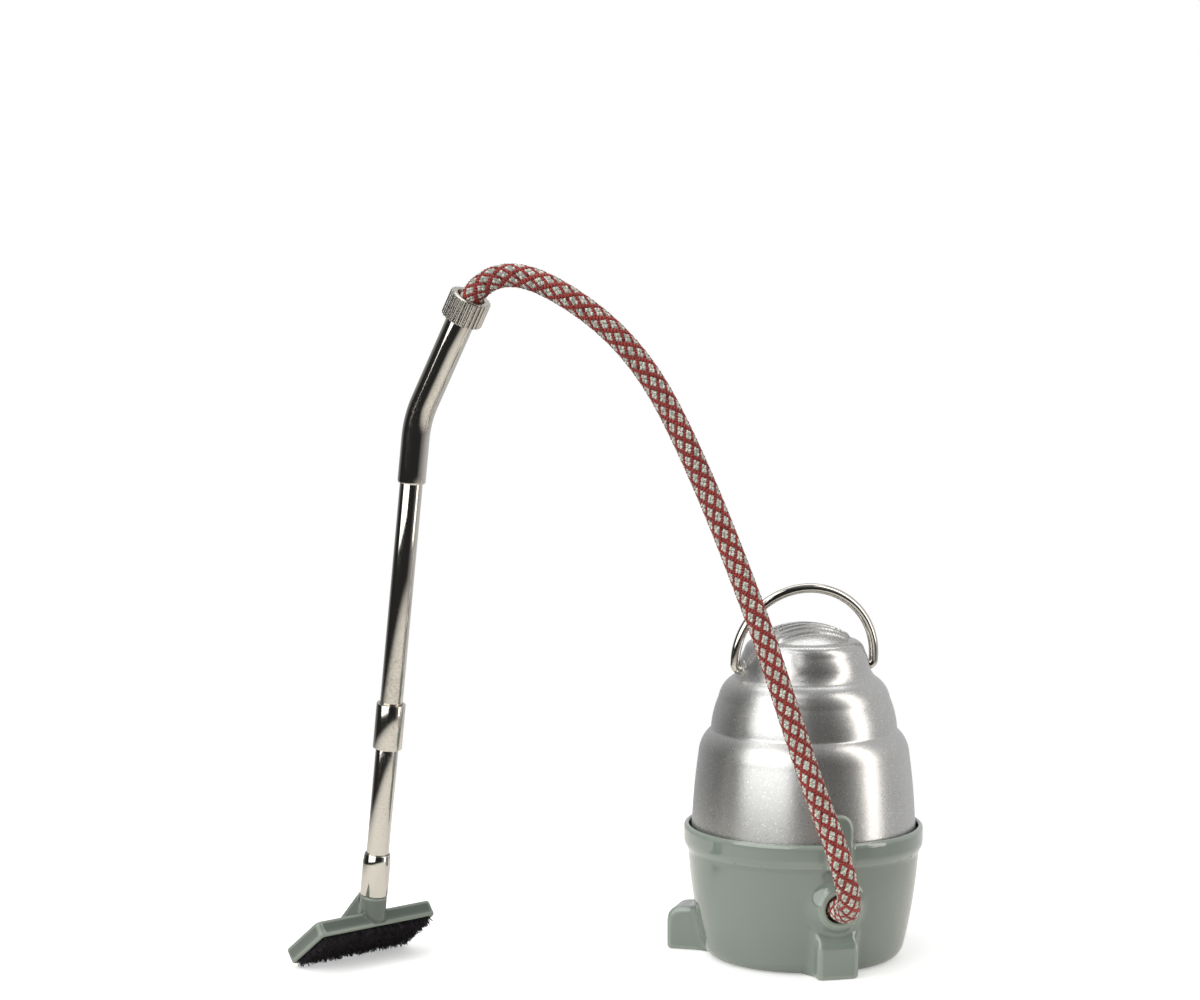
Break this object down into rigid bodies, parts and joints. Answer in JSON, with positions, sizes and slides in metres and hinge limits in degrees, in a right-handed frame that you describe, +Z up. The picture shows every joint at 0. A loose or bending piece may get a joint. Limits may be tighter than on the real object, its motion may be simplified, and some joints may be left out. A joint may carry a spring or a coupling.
{
  "type": "toy vacuum cleaner",
  "caption": "Doll-house canister vacuum cleaner: enamelled tub on feet, tiered silver cover with wire bail, braided hose, plated wand and tilted brush head.",
  "frame": {"origin": "centre of the tub's flat underside, on the floor", "axes": "+Z up, front towards -Y with the canister turned 14 degrees to the right, wand at -X"},
  "size_m": [0.0997, 0.0506, 0.1099],
  "materials": {
    "sage_enamel": "gloss enamel",
    "silver_paint": "satin metallic paint",
    "nickel_plate": "bright nickel plate",
    "braided_cord": "two-colour braid",
    "black_pile": "short bristle pile"
  },
  "bodies": {
    "canister": {"base_tub": "sage_enamel", "hose_ferrule": "nickel_plate", "hose": "braided_cord", "hose_collar": "nickel_plate", "handle_tube": "nickel_plate", "wand_tube_upper": "nickel_plate", "wand_sleeve": "nickel_plate", "wand_tube_lower": "nickel_plate", "wand_socket": "nickel_plate"},
    "cover": {"dome_cover": "silver_paint"},
    "bail": {"bail_handle": "nickel_plate"},
    "nut": {"coupling_nut": "nickel_plate"},
    "brush": {"brush_head": "sage_enamel", "bristle_strip": "black_pile"}
  },
  "joints": [
    {"name": "cover_lift", "type": "slide", "parent": "canister", "child": "cover", "axis": [0, 0, 1], "range_m": [0, 0.035]},
    {"name": "bail_swing", "type": "hinge", "parent": "cover", "child": "bail", "pos_m": [0, 0, 0.04575], "axis": [0.9703, 0.2419, 0], "range_deg": [-104, 88]},
    {"name": "nut_turn", "type": "hinge", "parent": "canister", "child": "nut", "pos_m": [-0.05212, -0.02073, 0.10311], "axis": [0.3954, -0.288, 0.8722], "continuous": true},
    {"name": "brush_swivel", "type": "hinge", "parent": "canister", "child": "brush", "pos_m": [-0.06779, -0.00659, 0.00809], "axis": [0.1008, -0.1081, 0.989], "range_deg": [-40, 40]}
  ]
}
